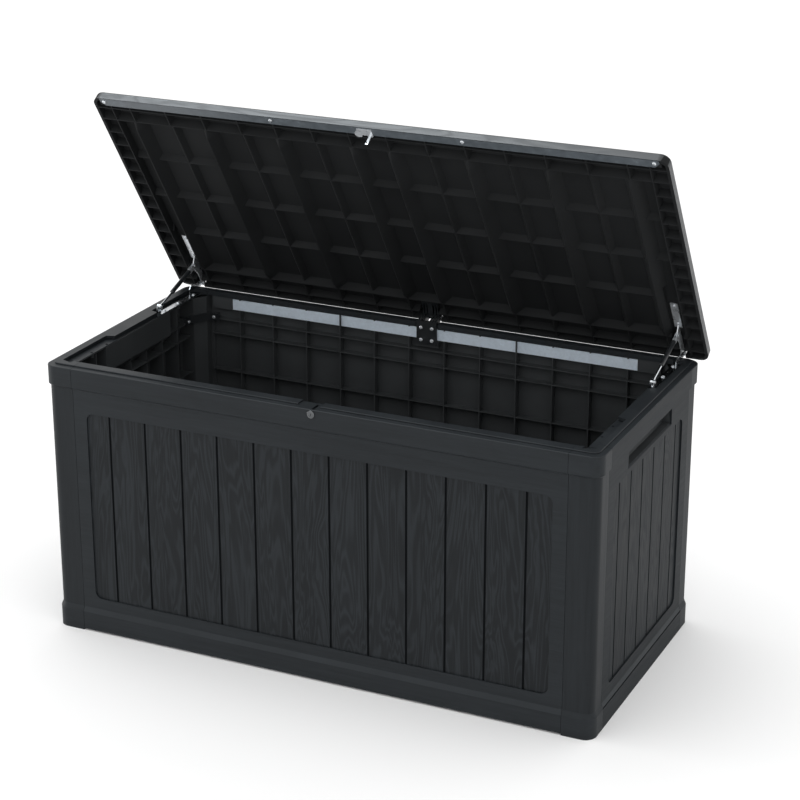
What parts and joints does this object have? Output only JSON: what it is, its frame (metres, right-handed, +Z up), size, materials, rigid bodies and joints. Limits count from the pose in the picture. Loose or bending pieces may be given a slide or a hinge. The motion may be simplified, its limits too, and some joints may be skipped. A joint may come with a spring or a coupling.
{
  "type": "deck storage box",
  "caption": "Long resin deck box with plank-pattern walls, hand holds in its ends and a ribbed lid held open on gas struts above a back hinge and a key lock",
  "frame": {"origin": "on the ground at the middle of the walls' footprint, which is the centre of the flat base", "axes": "+X along the length to the right seen from the front, +Y towards the hinged back, +Z up"},
  "size_m": [1.545, 0.7509, 1.3587],
  "materials": {
    "resin": "dark grey moulded resin with a wood grain on its outer faces",
    "resin_lid": "dark grey moulded resin, wood grain above and smooth ribs below",
    "galvanised_steel": "dull galvanised sheet",
    "black_steel": "satin black powder coat",
    "zinc_steel": "bright zinc-plated pressed steel",
    "screw_steel": "dark zinc plate",
    "bright_chrome": "bright plated steel"
  },
  "bodies": {
    "box": {"front_panel": "resin", "back_panel": "resin", "left_end_panel": "resin", "right_end_panel": "resin", "left_front_post": "resin", "right_front_post": "resin", "left_rear_post": "resin", "right_rear_post": "resin", "floor_panel": "resin", "back_stiffener": "galvanised_steel", "left_front_brace": "black_steel", "right_front_brace": "black_steel", "left_rear_brace": "black_steel", "right_rear_brace": "black_steel", "brace_screws": "screw_steel", "hinge_base": "black_steel", "hinge_base_screws": "screw_steel", "left_wall_bracket": "zinc_steel", "right_wall_bracket": "zinc_steel", "left_wall_bracket_screws": "screw_steel", "right_wall_bracket_screws": "screw_steel", "left_strut_pin": "screw_steel", "right_strut_pin": "screw_steel", "lock_housing": "bright_chrome"},
    "lid": {"lid_panel": "resin_lid", "lid_front_bar": "black_steel", "lid_bar_screws": "screw_steel", "lid_catch": "bright_chrome", "lid_catch_screws": "screw_steel", "hinge_leaf": "black_steel", "hinge_leaf_screws": "screw_steel", "hinge_centre_pins": "screw_steel", "left_lid_bracket": "zinc_steel", "right_lid_bracket": "zinc_steel", "left_lid_bracket_screws": "screw_steel", "right_lid_bracket_screws": "screw_steel", "left_hinge_pin": "screw_steel", "right_hinge_pin": "screw_steel"},
    "lock": {"lock_plug": "bright_chrome"},
    "left_rod": {"left_strut_rod": "bright_chrome"},
    "left_cylinder": {"left_strut_cylinder": "black_steel", "left_strut_fork": "zinc_steel"},
    "right_rod": {"right_strut_rod": "bright_chrome"},
    "right_cylinder": {"right_strut_cylinder": "black_steel", "right_strut_fork": "zinc_steel"}
  },
  "joints": [
    {"name": "lid_hinge", "type": "hinge", "parent": "box", "child": "lid", "pos_m": [0, 0.367, 0.7405], "axis": [-1, 0, 0], "range_deg": [-56.3, 0]},
    {"name": "lock_turn", "type": "hinge", "parent": "box", "child": "lock", "pos_m": [0.01, -0.365, 0.716], "axis": [0, -1, 0], "range_deg": [0, 90]},
    {"name": "left_strut_swing", "type": "hinge", "parent": "box", "child": "left_rod", "pos_m": [-0.7, 0.13, 0.741], "axis": [1, 0, 0], "range_deg": [-21.75, 0]},
    {"name": "left_strut_slide", "type": "slide", "parent": "left_rod", "child": "left_cylinder", "axis": [0, 0.9462, 0.3237], "range_m": [-0.04114, 0]},
    {"name": "right_strut_swing", "type": "hinge", "parent": "box", "child": "right_rod", "pos_m": [0.7, 0.13, 0.741], "axis": [1, 0, 0], "range_deg": [-21.75, 0]},
    {"name": "right_strut_slide", "type": "slide", "parent": "right_rod", "child": "right_cylinder", "axis": [0, 0.9462, 0.3237], "range_m": [-0.04114, 0]}
  ],
  "couplings": [
    {"joint": "left_strut_swing", "follows": "lid_hinge", "ratio": 0.3846},
    {"joint": "left_strut_slide", "follows": "lid_hinge", "m_per_rad": 0.041666},
    {"joint": "right_strut_swing", "follows": "lid_hinge", "ratio": 0.3846},
    {"joint": "right_strut_slide", "follows": "lid_hinge", "m_per_rad": 0.041666}
  ]
}
